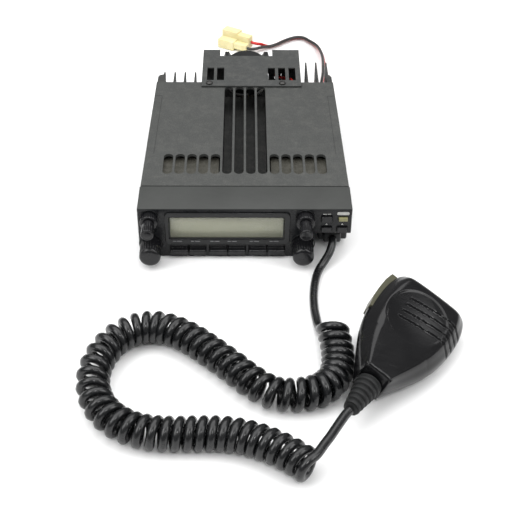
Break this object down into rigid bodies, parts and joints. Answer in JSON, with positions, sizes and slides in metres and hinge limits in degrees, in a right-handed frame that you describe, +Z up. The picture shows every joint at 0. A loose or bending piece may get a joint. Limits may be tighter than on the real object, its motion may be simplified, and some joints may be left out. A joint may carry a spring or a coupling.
{
  "type": "mobile transceiver",
  "caption": "Vehicle-mounted two-way amateur radio with a slotted, finned body, a rear fan, a curly-cord hand microphone and a short power lead.",
  "frame": {"origin": "middle of the flat bottom cover that the radio rests on", "axes": "+Z up, -Y out of the front panel towards the user, +Y towards the cooling fins and fan, +X to the right seen from the front"},
  "size_m": [0.2324, 0.5119, 0.0434],
  "materials": {
    "black_casting": "satin black die-cast aluminium",
    "charcoal_paint": "fine-textured charcoal paint",
    "black_screw": "blackened steel",
    "bare_metal": "dull plated steel",
    "black_plastic": "satin black moulding",
    "front_plastic": "semi-gloss black moulding",
    "knob_plastic": "semi-gloss black moulding",
    "gloss_plastic": "polished black moulding",
    "display_glass": "clear display pane",
    "display_green": "unlit olive liquid crystal display",
    "board_green": "solder resist",
    "rubber_black": "matte moulded rubber",
    "cord_black": "satin cord jacket",
    "wire_red": "satin wire insulation",
    "wire_black": "satin wire insulation",
    "cream_nylon": "moulded nylon",
    "olive_button": "translucent olive key",
    "olive_lever": "satin olive-black lever"
  },
  "bodies": {
    "root": {"antenna_socket": "bare_metal", "bottom_cover": "charcoal_paint", "chassis": "black_casting", "display_bezel": "front_plastic", "display_module": "display_green", "display_window": "display_glass", "fan_cover": "charcoal_paint", "fan_cover_screw_left": "black_screw", "fan_cover_screw_right": "black_screw", "fan_frame": "black_plastic", "fan_lead": "wire_red", "front_panel": "front_plastic", "hanger_button": "bare_metal", "left_dial_encoder": "bare_metal", "left_volume_control": "bare_metal", "logic_board": "board_green", "main_board": "board_green", "mic_board": "board_green", "mic_cord_coil": "cord_black", "mic_cord_end": "cord_black", "mic_cord_tail": "cord_black", "mic_element": "bare_metal", "mic_front_shell": "gloss_plastic", "mic_jack": "black_plastic", "mic_plug": "black_plastic", "mic_rear_shell": "gloss_plastic", "mic_strain_relief": "rubber_black", "power_connector": "cream_nylon", "power_grommet": "rubber_black", "power_lead_black": "wire_black", "power_lead_red": "wire_red", "power_module": "bare_metal", "ptt_switch": "black_plastic", "right_dial_encoder": "bare_metal", "right_volume_control": "bare_metal", "shield_plate_left": "bare_metal", "shield_plate_right": "bare_metal", "speaker": "charcoal_paint", "top_cover": "charcoal_paint"},
    "left_volume": {"left_volume_knob": "knob_plastic"},
    "right_volume": {"right_volume_knob": "knob_plastic"},
    "left_squelch": {"left_squelch_ring": "knob_plastic"},
    "right_squelch": {"right_squelch_ring": "knob_plastic"},
    "left_dial": {"left_tuning_dial": "knob_plastic"},
    "right_dial": {"right_tuning_dial": "knob_plastic"},
    "fan": {"fan_rotor": "black_plastic"},
    "ptt": {"ptt_lever": "olive_lever"},
    "function_button_1_key": {"function_button_1": "front_plastic"},
    "function_button_2_key": {"function_button_2": "front_plastic"},
    "function_button_3_key": {"function_button_3": "front_plastic"},
    "function_button_4_key": {"function_button_4": "front_plastic"},
    "function_button_5_key": {"function_button_5": "front_plastic"},
    "function_button_6_key": {"function_button_6": "front_plastic"},
    "lower_left_button_key": {"lower_left_button": "front_plastic"},
    "lower_right_button_key": {"lower_right_button": "front_plastic"},
    "power_button_key": {"power_button": "olive_button"},
    "top_left_button_key": {"top_left_button": "front_plastic"}
  },
  "joints": [
    {"name": "left_volume_turn", "type": "hinge", "parent": "root", "child": "left_volume", "pos_m": [-0.0632, -0.08225, 0.0322], "axis": [0, 1, 0], "range_deg": [-150, 150]},
    {"name": "left_squelch_turn", "type": "hinge", "parent": "root", "child": "left_squelch", "pos_m": [-0.0632, -0.08225, 0.0322], "axis": [0, 1, 0], "range_deg": [-150, 150]},
    {"name": "left_dial_turn", "type": "hinge", "parent": "root", "child": "left_dial", "pos_m": [-0.0628, -0.08225, 0.011], "axis": [0, 1, 0], "continuous": true},
    {"name": "right_volume_turn", "type": "hinge", "parent": "root", "child": "right_volume", "pos_m": [0.04, -0.08225, 0.0322], "axis": [0, 1, 0], "range_deg": [-150, 150]},
    {"name": "right_squelch_turn", "type": "hinge", "parent": "root", "child": "right_squelch", "pos_m": [0.04, -0.08225, 0.0322], "axis": [0, 1, 0], "range_deg": [-150, 150]},
    {"name": "right_dial_turn", "type": "hinge", "parent": "root", "child": "right_dial", "pos_m": [0.0388, -0.08225, 0.011], "axis": [0, 1, 0], "continuous": true},
    {"name": "fan_spin", "type": "hinge", "parent": "root", "child": "fan", "pos_m": [0.0012, 0.12195, 0.0208], "axis": [0, 1, 0], "continuous": true},
    {"name": "function_button_1_press", "type": "slide", "parent": "root", "child": "function_button_1_key", "axis": [0, 1, 0], "range_m": [0, 0.001], "stiffness_N_per_m": 600, "springref_m": -0.0004},
    {"name": "function_button_2_press", "type": "slide", "parent": "root", "child": "function_button_2_key", "axis": [0, 1, 0], "range_m": [0, 0.001], "stiffness_N_per_m": 600, "springref_m": -0.0004},
    {"name": "function_button_3_press", "type": "slide", "parent": "root", "child": "function_button_3_key", "axis": [0, 1, 0], "range_m": [0, 0.001], "stiffness_N_per_m": 600, "springref_m": -0.0004},
    {"name": "function_button_4_press", "type": "slide", "parent": "root", "child": "function_button_4_key", "axis": [0, 1, 0], "range_m": [0, 0.001], "stiffness_N_per_m": 600, "springref_m": -0.0004},
    {"name": "function_button_5_press", "type": "slide", "parent": "root", "child": "function_button_5_key", "axis": [0, 1, 0], "range_m": [0, 0.001], "stiffness_N_per_m": 600, "springref_m": -0.0004},
    {"name": "function_button_6_press", "type": "slide", "parent": "root", "child": "function_button_6_key", "axis": [0, 1, 0], "range_m": [0, 0.001], "stiffness_N_per_m": 600, "springref_m": -0.0004},
    {"name": "lower_left_button_press", "type": "slide", "parent": "root", "child": "lower_left_button_key", "axis": [0, 1, 0], "range_m": [0, 0.001], "stiffness_N_per_m": 600, "springref_m": -0.0004},
    {"name": "lower_right_button_press", "type": "slide", "parent": "root", "child": "lower_right_button_key", "axis": [0, 1, 0], "range_m": [0, 0.001], "stiffness_N_per_m": 600, "springref_m": -0.0004},
    {"name": "power_button_press", "type": "slide", "parent": "root", "child": "power_button_key", "axis": [0, 1, 0], "range_m": [0, 0.001], "stiffness_N_per_m": 600, "springref_m": -0.0004},
    {"name": "top_left_button_press", "type": "slide", "parent": "root", "child": "top_left_button_key", "axis": [0, 1, 0], "range_m": [0, 0.001], "stiffness_N_per_m": 600, "springref_m": -0.0004},
    {"name": "ptt_press", "type": "hinge", "parent": "root", "child": "ptt", "pos_m": [0.07487, -0.16582, 0.02754], "axis": [-0.3177, 0.1985, -0.9272], "range_deg": [0, 3], "stiffness_Nm_per_rad": 1, "springref_deg": -1.15}
  ]
}
